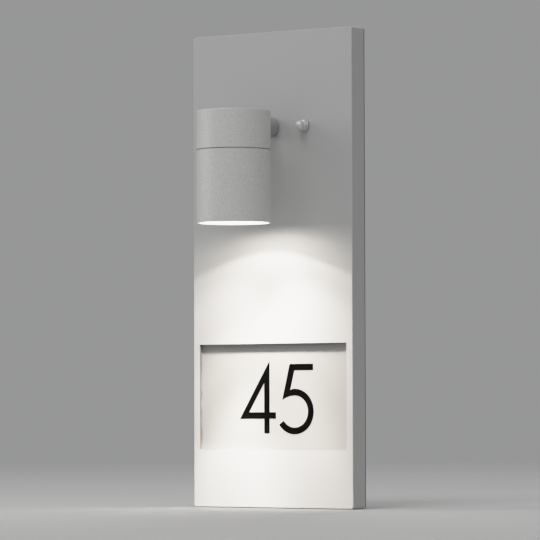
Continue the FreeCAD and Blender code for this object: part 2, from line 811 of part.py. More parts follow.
def lamp_cap():
    """Cast cap: closed top, spigot below the shoulder, bosses and rod seat."""
    body = new_body("lamp_cap")
    spigot_end = f"({CAP_SHOULDER} - spigot_length)"
    shell = new_sketch(body, "XZ_Plane")
    draw_outline(shell, [
        ("0", "cap_rise"),
        ("0", CAP_CEILING),
        (CAP_BORE, CAP_CEILING),
        (CAP_BORE, spigot_end),
        (f"{SPIGOT_RADIUS} - spigot_chamfer", spigot_end),
        (SPIGOT_RADIUS, f"{spigot_end} + spigot_chamfer"),
        (SPIGOT_RADIUS, CAP_SHOULDER),
        (LAMP_RADIUS, CAP_SHOULDER),
        (LAMP_RADIUS, "cap_rise"),
    ])
    revolve = body.newObject("PartDesign::Revolution", "Revolution")
    revolve.Profile = shell
    revolve.ReferenceAxis = (shell, ["V_Axis"])
    revolve.Angle = 360
    doc.recompute()
    top = number("cap_rise")
    radius = number(LAMP_RADIUS)
    round_edges(body, "cap_top_edge",
                lambda edge: edge.Curve.TypeId == "Part::GeomCircle"
                and abs(edge.Curve.Center.z - top) < 1e-6
                and abs(edge.Curve.Radius - radius) < 1e-6)
    bosses = new_sketch(body, "XY_Plane", STRAP_TOP)
    for side in BOTH_SIDES:
        draw_circle(bosses, "boss_dia / 2", f"{side} * boss_spacing / 2")
    pad(body, bosses, f"{CAP_CEILING} - {STRAP_TOP} + cap_top_thick / 2")
    tag_boss = new_sketch(body, "XY_Plane", TAG_TOP)
    draw_circle(tag_boss, "boss_dia / 2", "0", "tag_boss_inset")
    pad(body, tag_boss, "tag_boss_height + cap_top_thick / 2")
    seat = new_sketch(body, "XZ_Plane", f"-{CAP_SEAT}")
    draw_circle(seat, "rod_seat_dia / 2")
    pad(body, seat, f"{CAP_BORE} - {CAP_SEAT} + spigot_wall", backwards=True)
    rod_hole = new_sketch(body, "XZ_Plane")
    draw_circle(rod_hole, "rod_dia / 2 + rod_hole_clear")
    pocket(body, rod_hole, "lamp_dia")
    screw_holes = new_sketch(body, "XY_Plane", STRAP_TOP)
    for side in BOTH_SIDES:
        draw_circle(screw_holes, "boss_screw_dia / 2", f"{side} * boss_spacing / 2")
    pocket(body, screw_holes, "boss_screw_grip", backwards=True)
    tag_hole = new_sketch(body, "XY_Plane", TAG_TOP)
    draw_circle(tag_hole, "tag_screw_dia / 2", "0", "tag_boss_inset")
    pocket(body, tag_hole, "tag_boss_height", backwards=True)
    return place(body, y=LAMP_AXIS)


def head_seal():
    """Thin rubber ring in the joint between cap and sleeve."""
    return ring("head_seal", f"{LAMP_RADIUS} - head_seal_inset", SPIGOT_RADIUS,
                "head_seal_thick", y=LAMP_AXIS, z=SLEEVE_TOP)


def arc_slot(label, width, depth, height):
    """A slot round the bulb's axis, from the locked place to the way out."""
    pitch = "pin_spacing / 2"
    slots = []
    for turn in (0, 180):
        sector = cylinder(f"{label}_outer", f"{pitch} + {width} / 2", depth,
                          y=LAMP_AXIS, z=height)
        core = cylinder(f"{label}_inner", f"{pitch} - {width} / 2", depth,
                        y=LAMP_AXIS, z=height)
        bind(sector, Angle="twist_angle")
        sweep = cut_from(f"{label}_sweep", sector, [core])
        spin = f"{turn} - twist_angle"
        sector.setExpression("Placement.Rotation.Angle", bound(spin))
        ends = []
        for angle in (f"{turn}", spin):
            ends.append(cylinder(f"{label}_end", f"{width} / 2", depth,
                                 x=f"{pitch} * cos({angle})",
                                 y=f"{LAMP_AXIS} + {pitch} * sin({angle})", z=height))
        slots.extend([sweep] + ends)
    return slots


def lamp_socket():
    """Ceramic twist-lock holder: keyholes in its face and a chamber behind."""
    blank = cylinder("socket_blank", "socket_dia / 2", "socket_height",
                     y=LAMP_AXIS, z=SOCKET_FACE)
    cuts = arc_slot("keyhole", "(pin_neck_dia + 2 * slot_clear)", "socket_face_thick",
                    SOCKET_FACE)
    chamber_floor = f"({SOCKET_FACE} + socket_face_thick)"
    cuts += arc_slot("chamber", "(pin_head_dia + 2 * chamber_clear)",
                     "socket_chamber_depth", chamber_floor)
    pitch = "pin_spacing / 2"
    for side in BOTH_SIDES:
        cuts.append(cylinder("keyhole_entry", "pin_head_dia / 2 + slot_clear",
                             "socket_face_thick",
                             x=f"{side} * {pitch} * cos(twist_angle)",
                             y=f"{LAMP_AXIS} - {side} * {pitch} * sin(twist_angle)",
                             z=SOCKET_FACE))
        across = f"{side} * holder_screw_spacing / 2"
        cuts.append(cylinder("holder_screw_hole", "holder_screw_dia / 2", "socket_height",
                             x=across, y=LAMP_AXIS, z=SOCKET_FACE))
        cuts.append(cylinder("holder_screw_sink", "holder_head_dia / 2 + slot_clear",
                             "holder_head_sink", x=across, y=LAMP_AXIS, z=SOCKET_FACE))
    return cut_from("lamp_socket", blank, cuts)


def socket_bracket():
    """Steel strap that carries the lamp holder below the cap's two bosses."""
    body = new_body("socket_bracket")
    sketch = new_sketch(body, "XY_Plane")
    draw_rectangle(sketch, "(boss_spacing + 2 * strap_end_margin)", "strap_width")
    for side in BOTH_SIDES:
        draw_circle(sketch, "boss_screw_dia / 2", f"{side} * boss_spacing / 2")
        draw_circle(sketch, "holder_screw_dia / 2", f"{side} * holder_screw_spacing / 2")
    pad(body, sketch, "strap_thick")
    round_edges(body, "strap_end_margin",
                lambda edge: runs_along(edge, "z"))
    return place(body, y=LAMP_AXIS, z=SOCKET_TOP)


def holder_screws():
    """Screws of the lamp holder into its strap, and of the strap into the cap."""
    holder, boss = [], []
    for side in BOTH_SIDES:
        seat = f"{SOCKET_FACE} + holder_head_sink - holder_head_thick"
        holder.append(headed_screw("holder_screw", "holder_head_dia", "holder_head_thick",
                                   "holder_screw_dia",
                                   "(socket_height - holder_head_sink + strap_thick"
                                   " + holder_screw_proud)",
                                   x=f"{side} * holder_screw_spacing / 2",
                                   y=LAMP_AXIS, z=seat))
        boss.append(headed_screw("boss_screw", "boss_head_dia", "boss_head_thick",
                                 "boss_screw_dia", "(strap_thick + boss_screw_grip)",
                                 x=f"{side} * boss_spacing / 2", y=LAMP_AXIS,
                                 z=f"{SOCKET_TOP} - boss_head_thick"))
    return group("socket_screws", holder), group("strap_screws", boss)


# ---- wiring ----

def terminal_block():
    """Three-pole block on two welded studs, with wells for its screws."""
    low = "-terminal_drop - terminal_height"
    body = block("terminal_blank", (TERMINAL_WIDTH, "terminal_depth", "terminal_height"),
                 (f"-{TERMINAL_WIDTH} / 2", PANEL_INSIDE, low))
    cuts, studs, nuts, screws = [], [], [], []
    fix_floor = f"({TERMINAL_BACK} - terminal_fix_sink)"
    for side in BOTH_SIDES:
        across = f"{side} * terminal_pitch / 2"
        cuts.append(cylinder("fixing_hole", "small_stud_dia / 2", "terminal_depth",
                             x=across, y=PANEL_INSIDE, z=TERMINAL_MIDDLE, turn=INWARD))
        cuts.append(cylinder("fixing_well", "terminal_fix_well_dia / 2",
                             "terminal_fix_sink", x=across, y=fix_floor,
                             z=TERMINAL_MIDDLE, turn=INWARD))
        groove = (f"{across} - terminal_groove / 2", f"{TERMINAL_BACK} - terminal_groove", low)
        cuts.append(block("pole_groove", ("terminal_groove", "terminal_groove",
                                          "terminal_height"), groove))
        stud_length = f"{fix_floor} - {PANEL_INSIDE} + small_nut_thick + small_stud_proud"
        studs.append(cylinder("terminal_stud", "small_stud_dia / 2", stud_length,
                              x=across, y=PANEL_INSIDE, z=TERMINAL_MIDDLE, turn=INWARD))
        nuts.append(hex_nut("terminal_nut", "small_nut_flats", "small_nut_thick",
                            "small_stud_dia / 2", x=across, y=fix_floor,
                            z=TERMINAL_MIDDLE, turn=INWARD))
    for pole in (-1, 0, 1):
        for level in BOTH_SIDES:
            where = {"x": f"{pole} * terminal_pitch",
                     "z": f"{TERMINAL_MIDDLE} + {level} * terminal_screw_pitch / 2",
                     "y": f"{TERMINAL_BACK} - terminal_well_depth", "turn": INWARD}
            cuts.append(cylinder("screw_well", "terminal_well_dia / 2",
                                 "terminal_well_depth", **where))
            screws.append(cylinder("clamp_screw", "terminal_screw_dia / 2",
                                   "terminal_screw_length", **where))
    return (cut_from("terminal_block", body, cuts), group("terminal_studs", studs),
            group("terminal_nuts", nuts), group("terminal_screws", screws))


def earth_tag():
    """Ring tag on the cap's earth boss, its barrel hanging down to the lead."""
    washer = cylinder("tag_ring", "tag_ring_dia / 2", "tag_thick",
                      y=TAG_DEPTH, z=f"{TAG_TOP} - tag_thick")
    stem = block("tag_stem_plate", ("tag_barrel_dia", "tag_stem", "tag_thick"),
                 ("-tag_barrel_dia / 2", f"{TAG_DEPTH} - tag_stem", f"{TAG_TOP} - tag_thick"))
    barrel = cylinder("tag_barrel", "tag_barrel_dia / 2", "tag_barrel_length",
                      y=f"{TAG_DEPTH} - tag_stem", z=f"{TAG_TOP} - tag_barrel_length")
    hole = cylinder("tag_hole", "tag_hole_dia / 2", "tag_thick",
                    y=TAG_DEPTH, z=f"{TAG_TOP} - tag_thick")
    tag = cut_from("earth_tag", fused("tag_blank", [washer, stem, barrel]), [hole])
    screw = headed_screw("earth_tag_screw", "tag_head_dia", "tag_head_thick",
                         "tag_screw_dia", "(tag_thick + tag_boss_height)", y=TAG_DEPTH,
                         z=f"{TAG_TOP} - tag_thick - tag_head_thick")
    return tag, screw


def lead_path(points, bend):
    """Straight runs through the points, joined by arcs that their runs have room for."""
    edges = []
    run_start = points[0]
    last_corner = len(points) - 2
    for index in range(1, len(points) - 1):
        before, corner, after = points[index - 1:index + 2]
        arriving = corner - before
        leaving = after - corner
        room = min(arriving.Length * (END_RUN_SHARE if index == 1 else MIDDLE_RUN_SHARE),
                   leaving.Length * (END_RUN_SHARE if index == last_corner
                                     else MIDDLE_RUN_SHARE))
        arriving.normalize()
        leaving.normalize()
        half_turn = arriving.getAngle(leaving) / 2
        reach = min(bend * math.tan(half_turn), room)
        radius = reach / math.tan(half_turn)
        inward = (leaving - arriving).normalize()
        arc_start = corner - arriving * reach
        arc_end = corner + leaving * reach
        apex = corner + inward * (radius / math.cos(half_turn) - radius)
        edges.append(Part.makeLine(run_start, arc_start))
        edges.append(Part.Arc(arc_start, apex, arc_end).toShape())
        run_start = arc_end
    edges.append(Part.makeLine(run_start, points[-1]))
    return Part.Wire(edges)


def lead(label, route):
    """An insulated lead along a route of (x, y, z) expressions."""
    points = [Vector(*(number(ordinate) for ordinate in point)) for point in route]
    path = lead_path(points, number("lead_bend"))
    radius = number("lead_dia / 2")
    start = (points[1] - points[0]).normalize()
    section = Part.Wire([Part.makeCircle(radius, points[0], start)])
    tube = path.makePipeShell([section], True, False)
    expected = math.pi * radius ** 2 * path.Length
    if abs(tube.Volume / expected - 1) > 0.01:
        raise RuntimeError(f"{label}: the tube's volume is not its section times its length")
    print(label, "length", round(path.Length, 1), "bend radius", number("lead_bend"))
    feature = doc.addObject("Part::Feature", label)
    feature.Shape = tube
    return feature


def leads():
    """Leads from the terminal block, through the hollow rod, into the head."""
    fall = f"({ROD_PANEL_END} + lead_bend)"
    fan = "(-lead_drop_inset)"
    block_top = "(-terminal_drop)"
    socket_side = f"({LAMP_AXIS} + lead_drop_inset)"
    tag_barrel_end = f"({TAG_TOP} - tag_barrel_length)"
    tag_side = f"({TAG_DEPTH} - tag_stem)"
    made = []
    for name, side in (("live_lead", -1), ("neutral_lead", 1), ("earth_lead", 0)):
        pole = f"{side} * terminal_pitch"
        inside = f"{side} * lead_pitch"
        route = [
            (pole, fall, block_top),
            (pole, fall, f"{block_top} + lead_drop_inset"),
            (inside, fall, "0"),
        ]
        if side == 0:
            low = "-earth_lead_drop"
            route = [route[0], ("0", fall, low), ("0", tag_side, low),
                     ("0", tag_side, tag_barrel_end)]
        else:
            entry = f"{side} * lead_entry_spacing / 2"
            route += [
                (inside, f"{ROD_HEAD_END} - lead_dia", "0"),
                (entry, socket_side, "0"),
                (entry, socket_side, SOCKET_TOP),
            ]
        made.append(lead(name, route))
    return made


# ---- sleeve with its glass ----

def lamp_sleeve():
    """Drawn tube below the cap, with a rebate at its rim for the glass."""
    return turned("lamp_sleeve", [
        (SLEEVE_BORE, SLEEVE_TOP),
        (SLEEVE_BORE, REBATE_TOP),
        (REBATE_RADIUS, REBATE_TOP),
        (REBATE_RADIUS, SLEEVE_BOTTOM),
        (LAMP_RADIUS, SLEEVE_BOTTOM),
        (LAMP_RADIUS, SLEEVE_TOP),
    ], y=LAMP_AXIS)


def front_glass():
    return turned("front_glass", [
        ("0", GLASS_BOTTOM),
        (f"{GLASS_RADIUS} - glass_edge", GLASS_BOTTOM),
        (GLASS_RADIUS, f"{GLASS_BOTTOM} + glass_edge"),
        (GLASS_RADIUS, GLASS_TOP),
        ("0", GLASS_TOP),
    ], y=LAMP_AXIS)


def glass_seal():
    """Silicone seal that wraps the glass's edge and beds it in the rebate."""
    return turned("glass_seal", [
        (f"{REBATE_RADIUS} - glass_seal_reach", GLASS_TOP),
        (GLASS_RADIUS, GLASS_TOP),
        (GLASS_RADIUS, f"{GLASS_BOTTOM} + glass_edge"),
        (REBATE_RADIUS, f"{GLASS_BOTTOM} + glass_edge"),
        (REBATE_RADIUS, REBATE_TOP),
        (f"{REBATE_RADIUS} - glass_seal_reach", REBATE_TOP),
    ], y=LAMP_AXIS)


# ---- reflector bulb ----

def bulb_body():
    """Reflector bulb: a ceramic base that swells into a bell and a rim."""
    rim_top = f"({BULB_BOTTOM} + bulb_rim_height)"
    neck = f"({BULB_TOP} - bulb_base_height)"
    recess = f"({BULB_BOTTOM} + lens_depth)"
    return turned("bulb_body", [
        ("0", recess),
        ("lens_dia / 2", recess),
        ("lens_dia / 2", BULB_BOTTOM),
        ("bulb_dia / 2", BULB_BOTTOM),
        ("bulb_dia / 2", rim_top),
        ("bulb_base_dia / 2", neck, "bulb_bell_bow"),
        ("bulb_base_dia / 2", BULB_TOP),
        ("0", BULB_TOP),
    ], y=LAMP_AXIS)


def bulb_lens():
    recess = f"({BULB_BOTTOM} + lens_depth)"
    return turned("bulb_lens", [
        ("0", f"{BULB_BOTTOM} - lens_crown"),
        ("lens_dia / 2", BULB_BOTTOM, "lens_face_bow"),
        ("lens_dia / 2", recess),
        ("0", recess),
    ], y=LAMP_AXIS)


def bulb_pins():
    """Two contact pins with heads, held behind the holder's keyholes."""
    head = "(pin_neck_length + pin_head_thick)"
    pins = []
    for side in BOTH_SIDES:
        pins.append(turned("bulb_pin", [
            ("0", "0"),
            ("pin_neck_dia / 2", "0"),
            ("pin_neck_dia / 2", "pin_neck_length"),
            ("pin_head_dia / 2", "pin_neck_length"),
            ("pin_head_dia / 2", head),
            ("0", head),
        ], x=f"{side} * pin_spacing / 2", y=LAMP_AXIS, z=BULB_TOP))
    return group("bulb_pins", pins)


# ---- the whole sign ----

pieces = [front_panel(), rim_seal(), window_gasket(), number_plate(), *clip_fixings()]
pieces += [wall_bracket(), *fixing_studs(), cable_grommet(), *bracket_earth()]
pieces += cap_nut_sets()
pieces += [arm(), *arm_fixings()]
pieces += [lamp_cap(), head_seal(), lamp_socket(), socket_bracket(), *holder_screws()]
pieces += [*terminal_block(), *earth_tag(), *leads()]
pieces += [lamp_sleeve(), front_glass(), glass_seal(), bulb_body(), bulb_lens(), bulb_pins()]
doc.recompute()

faults = [f"{item.Name}: {state}" for item in doc.Objects for state in item.State
          if state in ("Invalid", "Error")]
for piece in pieces:
    if piece.Shape.isNull() or not piece.Shape.isValid() or not piece.Shape.Solids:
        faults.append(f"{piece.Label}: no valid solid")
if faults:
    raise RuntimeError("; ".join(faults))

os.makedirs("parts", exist_ok=True)
for piece in pieces:
    piece.Shape.exportStep(os.path.join("parts", f"{piece.Label}.step"))
    box = piece.Shape.BoundBox
    print(f"{piece.Label:18s} solids {len(piece.Shape.Solids)}"
          f"  x {box.XMin:7.2f} {box.XMax:7.2f}"
          f"  y {box.YMin:7.2f} {box.YMax:7.2f}"
          f"  z {box.ZMin:8.2f} {box.ZMax:8.2f}")
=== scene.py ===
import math

import bmesh
import bpy
from mathutils import Matrix, Vector


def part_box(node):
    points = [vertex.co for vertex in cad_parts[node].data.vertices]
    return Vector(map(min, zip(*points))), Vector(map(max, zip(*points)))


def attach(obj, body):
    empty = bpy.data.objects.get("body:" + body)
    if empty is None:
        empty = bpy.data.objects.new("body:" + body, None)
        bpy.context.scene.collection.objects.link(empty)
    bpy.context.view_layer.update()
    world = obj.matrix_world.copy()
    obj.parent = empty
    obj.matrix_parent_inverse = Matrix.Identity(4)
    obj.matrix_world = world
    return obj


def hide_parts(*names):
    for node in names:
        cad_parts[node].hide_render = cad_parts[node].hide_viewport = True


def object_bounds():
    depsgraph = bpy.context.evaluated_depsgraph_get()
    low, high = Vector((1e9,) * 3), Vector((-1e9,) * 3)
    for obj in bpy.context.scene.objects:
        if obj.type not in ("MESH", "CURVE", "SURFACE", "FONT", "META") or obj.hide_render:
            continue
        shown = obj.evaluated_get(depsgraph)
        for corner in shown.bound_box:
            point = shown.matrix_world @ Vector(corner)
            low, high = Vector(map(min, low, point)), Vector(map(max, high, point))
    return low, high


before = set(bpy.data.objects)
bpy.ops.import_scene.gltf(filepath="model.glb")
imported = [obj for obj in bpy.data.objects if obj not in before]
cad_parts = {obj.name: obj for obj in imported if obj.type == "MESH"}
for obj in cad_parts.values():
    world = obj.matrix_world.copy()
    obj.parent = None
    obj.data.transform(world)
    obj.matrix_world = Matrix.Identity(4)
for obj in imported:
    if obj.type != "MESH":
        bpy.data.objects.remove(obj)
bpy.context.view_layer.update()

# The looks of an illuminated house number sign, from its tray outwards. Metres,
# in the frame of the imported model: +X right, +Y into the mounting face, +Z up.

# ---- Tray ----
# One sheet of 1.5 mm aluminium, folded back on four sides and welded at the
# corners. It is finished in a light grey powder coat, whose fine grain shows.

COAT_GREY = (0.535, 0.538, 0.535, 1)
COAT_METALLIC = 0.12
COAT_ROUGHNESS = 0.47
COAT_DRIFT = 30        # slow changes of gloss, in a metre
COAT_GRAIN = 1500      # grains a metre, so each is about two thirds of a millimetre
COAT_SPECK = 4200
COAT_RELIEF = 0.00005
MIX_SHARE, MIX_UNDER, MIX_OVER, MIX_RESULT = 0, 6, 7, 2      # a Mix node's colour sockets


def new_finish(name, colour, roughness, metallic=0.0):
    """A material with its shader, and the object coordinates its patterns read."""
    finish = bpy.data.materials.new(name)
    finish.use_nodes = True
    tree = finish.node_tree
    shader = tree.nodes["Principled BSDF"]
    shader.inputs["Base Color"].default_value = colour
    shader.inputs["Roughness"].default_value = roughness
    shader.inputs["Metallic"].default_value = metallic
    place = tree.nodes.new("ShaderNodeTexCoord").outputs["Object"]
    return finish, tree, shader, place


def noise(tree, place, scale, detail=2.0, rough=0.5):
    """Noise of so many features a metre."""
    node = tree.nodes.new("ShaderNodeTexNoise")
    node.inputs["Scale"].default_value = scale
    node.inputs["Detail"].default_value = detail
    node.inputs["Roughness"].default_value = rough
    tree.links.new(place, node.inputs["Vector"])
    return node.outputs["Fac"]


def spread(tree, value, low, high, start=0.3, end=0.7):
    """A pattern's value, brought to the range low to high."""
    node = tree.nodes.new("ShaderNodeMapRange")
    for name, number in (("From Min", start), ("From Max", end), ("To Min", low), ("To Max", high)):
        node.inputs[name].default_value = number
    tree.links.new(value, node.inputs["Value"])
    return node.outputs["Result"]


def feed(tree, socket, value):
    """Link an input to an output, or set it to a plain value."""
    if isinstance(value, bpy.types.NodeSocket):
        tree.links.new(value, socket)
    else:
        socket.default_value = value


def mix_base(tree, shader, share, under, over, blend="MIX"):
    """Make the base colour a mix of two colours."""
    node = tree.nodes.new("ShaderNodeMix")
    node.data_type = "RGBA"
    node.blend_type = blend
    for socket, value in ((MIX_SHARE, share), (MIX_UNDER, under), (MIX_OVER, over)):
        feed(tree, node.inputs[socket], value)
    tree.links.new(node.outputs[MIX_RESULT], shader.inputs["Base Color"])


def overlay(tree, shader, colour, mask, blend="MIX"):
    """Lay a colour or a tone over the base colour, as much as the mask says."""
    under = shader.inputs["Base Color"].links[0].from_socket
    mix_base(tree, shader, mask, under, colour, blend)


def vary_gloss(tree, shader, value, low, high, start=0.3, end=0.7):
    """Roughness that runs from low to high with a pattern's value."""
    tree.links.new(spread(tree, value, low, high, start, end), shader.inputs["Roughness"])


def raised(tree, shader, value, height):
    """Relief of so many metres."""
    node = tree.nodes.new("ShaderNodeBump")
    node.inputs["Distance"].default_value = height
    tree.links.new(value, node.inputs["Height"])
    tree.links.new(node.outputs["Normal"], shader.inputs["Normal"])


def shade(colour, share):
    """A colour made darker or lighter by a share."""
    return tuple(channel * share for channel in colour[:3]) + (1,)


def powder_coat(name, relief, colour=COAT_GREY):
    """A baked powder coat, speckled and with a fine grain."""
    finish, tree, shader, place = new_finish(name, colour, COAT_ROUGHNESS, COAT_METALLIC)
    speck = spread(tree, noise(tree, place, COAT_SPECK, 1.0), 0, 1, 0.25, 0.75)
    mix_base(tree, shader, speck, shade(colour, 0.9), shade(colour, 1.08))
    vary_gloss(tree, shader, noise(tree, place, COAT_DRIFT), COAT_ROUGHNESS - 0.04,
               COAT_ROUGHNESS + 0.05)
    raised(tree, shader, noise(tree, place, COAT_GRAIN, 2.5, 0.6), relief)
    return finish, tree, shader, place


def dress(finish, *nodes):
    """Give CAD nodes a finish."""
    for name in nodes:
        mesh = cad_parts[name].data
        mesh.materials.clear()
        mesh.materials.append(finish)


def math_node(tree, operation, *values):
    """A Math node fed with sockets or plain numbers."""
    node = tree.nodes.new("ShaderNodeMath")
    node.operation = operation
    for socket, value in zip(node.inputs, values):
        feed(tree, socket, value)
    return node.outputs["Value"]


tray_coat, tree, shader, place = powder_coat("tray_coat", COAT_RELIEF)

# The window's cut edges are painted dark grey: painted shade for the thin shadow line round the
# window.
WINDOW_EDGE_SHADE = (0.20, 0.20, 0.20, 1)
EDGE_SHADE_REACH = 0.00008
WINDOW_LOW, WINDOW_HIGH = (-0.076, -0.2776), (0.076, -0.1865)      # across and up
axes = tree.nodes.new("ShaderNodeSeparateXYZ")
tree.links.new(place, axes.inputs["Vector"])
outside = []
for axis, low, high in zip("XZ", WINDOW_LOW, WINDOW_HIGH):
    from_middle = math_node(tree, "SUBTRACT", axes.outputs[axis], (low + high) / 2)
    outside.append(math_node(tree, "SUBTRACT", math_node(tree, "ABSOLUTE", from_middle),
                             (high - low) / 2))
from_edge = math_node(tree, "ABSOLUTE", math_node(tree, "MAXIMUM", *outside))
# Painted shade on the window's cut edges, and a hairline of the face beside them.
overlay(tree, shader, WINDOW_EDGE_SHADE, math_node(tree, "LESS_THAN", from_edge, EDGE_SHADE_REACH))
dress(tray_coat, "front_panel")

# ---- Edging ----
# Black cellular rubber, extruded as an angle and pushed on behind the tray's
# rim, where it seals against the mounting face.

RUBBER_BLACK = (0.022, 0.022, 0.023, 1)
RUBBER_ROUGHNESS = 0.78
RUBBER_BLOOM = 60      # pale patches, in a metre
RUBBER_PORES = 2600
RUBBER_RELIEF = 0.00005


def clouded(tree, shader, place, scale, dark, light, detail=2.0):
    """Base colour that drifts from dark to light, in so many clouds a metre."""
    cloud = spread(tree, noise(tree, place, scale, detail), 0, 1)
    mix_base(tree, shader, cloud, dark, light)


def rubber(name, colour, roughness=RUBBER_ROUGHNESS):
    """Rubber with a faint bloom and fine pores."""
    finish, tree, shader, place = new_finish(name, colour, roughness)
    clouded(tree, shader, place, RUBBER_BLOOM, shade(colour, 0.75), shade(colour, 1.5), 3.0)
    raised(tree, shader, noise(tree, place, RUBBER_PORES), RUBBER_RELIEF)
    return finish


black_rubber = rubber("black_rubber", RUBBER_BLACK)
dress(black_rubber, "rim_seal")

# ---- Window gasket ----
# A frame stamped from grey rubber sheet, clamped between tray and number plate.
# The sheet is solid rubber, so it is smoother than the edging.

SHEET_GREY = (0.19, 0.19, 0.187, 1)
SHEET_ROUGHNESS = 0.6

dress(rubber("grey_sheet_rubber", SHEET_GREY, SHEET_ROUGHNESS), "window_gasket")

# ---- Number plate ----
# White opal acrylic, sawn and flame-polished, clipped behind the window. Its
# face is faintly satin, with the odd fine pore.

PLATE_WHITE = (0.39, 0.386, 0.378, 1)
PLATE_RELIEF = 0.00001

plate_white, tree, shader, place = new_finish("opal_acrylic", PLATE_WHITE, roughness=0.38)
clouded(tree, shader, place, 22, shade(PLATE_WHITE, 0.975), shade(PLATE_WHITE, 1.02))
vary_gloss(tree, shader, noise(tree, place, 500), 0.34, 0.46)
raised(tree, shader, noise(tree, place, 900, 1.0), PLATE_RELIEF)
dress(plate_white, "number_plate")

# ---- Numerals ----
# Plain numerals four and five, cut on a plotter from black vinyl film and
# pressed on the number plate. Their strokes are of one width.

FILM_BLACK = (0.003, 0.003, 0.0032, 1)
FILM_DARK = (0.0022, 0.0022, 0.0024, 1)
FILM_LIGHT = (0.0036, 0.0036, 0.0038, 1)
FILM_RELIEF = 0.000012
FILM_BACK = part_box("number_plate")[0].y
FILM_THICK = 0.00016
WELD = 1e-6            # points nearer than this are one
# The numerals are in millimetres, across and up.
FOUR_OUTLINE = [(-36.7, -250.95), (-5.85, -201.3), (-5.85, -245.35), (0.8, -245.35),
                (0.8, -250.95), (-5.85, -250.95), (-5.85, -263.5), (-11.35, -263.5),
                (-11.35, -250.95)]
FOUR_COUNTER = [(-27.15, -245.35), (-11.35, -245.35), (-11.35, -220.1)]
FIVE_STEM = [(39.1, -204.0), (15.1, -204.0), (7.4, -234.9), (11.2, -232.8), (15.2, -231.5),
             (20.1, -231.0), (20.1, -225.25), (17.8, -225.55), (15.6, -226.4),
             (19.85, -209.45), (39.1, -209.45)]
FIVE_CENTRE = (20.1, -244.8)
FIVE_OUTER = 19.55
FIVE_INNER = 13.8
FIVE_SWEEP = math.radians(235)
FIVE_STEPS = 56

film, tree, shader, place = new_finish("black_vinyl", FILM_BLACK, roughness=0.6)
shader.inputs["Specular IOR Level"].default_value = 0.0
clouded(tree, shader, place, 90, FILM_DARK, FILM_LIGHT)
raised(tree, shader, noise(tree, place, 1400), FILM_RELIEF)


def plate_point(x, z):
    """A point of the plate's face, from millimetres."""
    return Vector((x / 1000, FILM_BACK, z / 1000))


def outline_edges(bm, corners):
    """A closed outline on the plate's face."""
    verts = [bm.verts.new(plate_point(x, z)) for x, z in corners]
    return [bm.edges.new((verts[i - 1], verts[i])) for i in range(len(verts))]


def finished(name, bm, body, finish, replaced=()):
    """Turn a bmesh into a piece of the sign, riding on its body."""
    mesh = bpy.data.meshes.new(name)
    bm.to_mesh(mesh)
    bm.free()
    piece = bpy.data.objects.new(name, mesh)
    bpy.context.scene.collection.objects.link(piece)
    mesh.materials.append(finish)
    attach(piece, body)
    if replaced:
        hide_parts(*replaced)
    return piece


def thicken_film(bm):
    """Give a flat numeral the film's thickness, towards the viewer."""
    bmesh.ops.remove_doubles(bm, verts=bm.verts, dist=WELD)
    pulled = bmesh.ops.extrude_face_region(bm, geom=list(bm.faces), use_keep_orig=True)
    front = [item for item in pulled["geom"] if isinstance(item, bmesh.types.BMVert)]
    bmesh.ops.translate(bm, verts=front, vec=(0, -FILM_THICK, 0))
    bmesh.ops.recalc_face_normals(bm, faces=bm.faces)


bm = bmesh.new()
edges = outline_edges(bm, FOUR_OUTLINE) + outline_edges(bm, FOUR_COUNTER)
bmesh.ops.triangle_fill(bm, edges=edges, use_beauty=True)
thicken_film(bm)
finished("numeral_four", bm, "panel", film)

bm = bmesh.new()
bmesh.ops.triangle_fill(bm, edges=outline_edges(bm, FIVE_STEM), use_beauty=True)
top = [bm.verts.new(plate_point(FIVE_CENTRE[0], FIVE_CENTRE[1] + radius))
       for radius in (FIVE_INNER, FIVE_OUTER)]
stroke = bm.edges.new(top)
bmesh.ops.spin(bm, geom=top + [stroke], cent=plate_point(*FIVE_CENTRE), axis=(0, 1, 0),
               angle=FIVE_SWEEP, steps=FIVE_STEPS, use_merge=False)
thicken_film(bm)
finished("numeral_five", bm, "panel", film)

# ---- Zinc-plated fasteners ----
# Steel nuts, studs and screws with a bright zinc plate. Nuts are cold formed, and
# their corners chamfered to a cone; threads are rolled, and heads pressed with a
# cross. Each set takes its places from the solids of its CAD node.

ZINC_GREY = (0.60, 0.61, 0.62, 1)
ZINC_PATCHES = 260        # in a metre
METAL_RELIEF = 0.000006
ROUND = 48                # facets round a turned part, eight to each flat of a nut
TURNED_WELD = 1e-7
CUT_WELD = 1e-8
NUT_FACE = 0.95           # a nut's round face, as a share of its width over the flats
NUT_RIM = 0.99            # what lies past this share of half the flats is drawn out
CROWN = math.radians(30)
EDGE_BREAK = 0.00015
THREAD_DEPTH = 0.61       # of the pitch
HEAD_TOP = 0.62           # a pan head's flat top, as a share of its radius
HEAD_SIDE = ((0.83, 0.13), (0.95, 0.4), (1, 0.75), (1, 1))      # shares: out and down
RECESS_WIDTH = 0.26       # of the head's radius
RECESS_DEPTH = 0.6        # of the head's height
RECESS_TAPER = 0.6
ALONG_Y, ALONG_Z = 1, 2
LOW_END, HIGH_END = 0, 1
FACING_FRONT = math.radians(90)      # turns about X, from facing up
FACING_BACK = math.radians(-90)
FACING_DOWN = math.radians(180)
M2_5 = (0.00125, 0.00045)            # threads: radius and pitch
M3 = (0.0015, 0.0005)
M5 = (0.0025, 0.0008)
M10_FINE = (0.005, 0.001)
ROD_BORE = 0.004


def plated(name, colour, roughness, patches=ZINC_PATCHES):
    """A bare or plated metal, a little patchy."""
    finish, tree, shader, place = new_finish(name, colour, roughness, metallic=1.0)
    clouded(tree, shader, place, patches, shade(colour, 0.86), shade(colour, 1.08), 3.0)
    vary_gloss(tree, shader, noise(tree, place, 900), roughness - 0.06, roughness + 0.1)
    raised(tree, shader, noise(tree, place, 3200), METAL_RELIEF)
    return finish


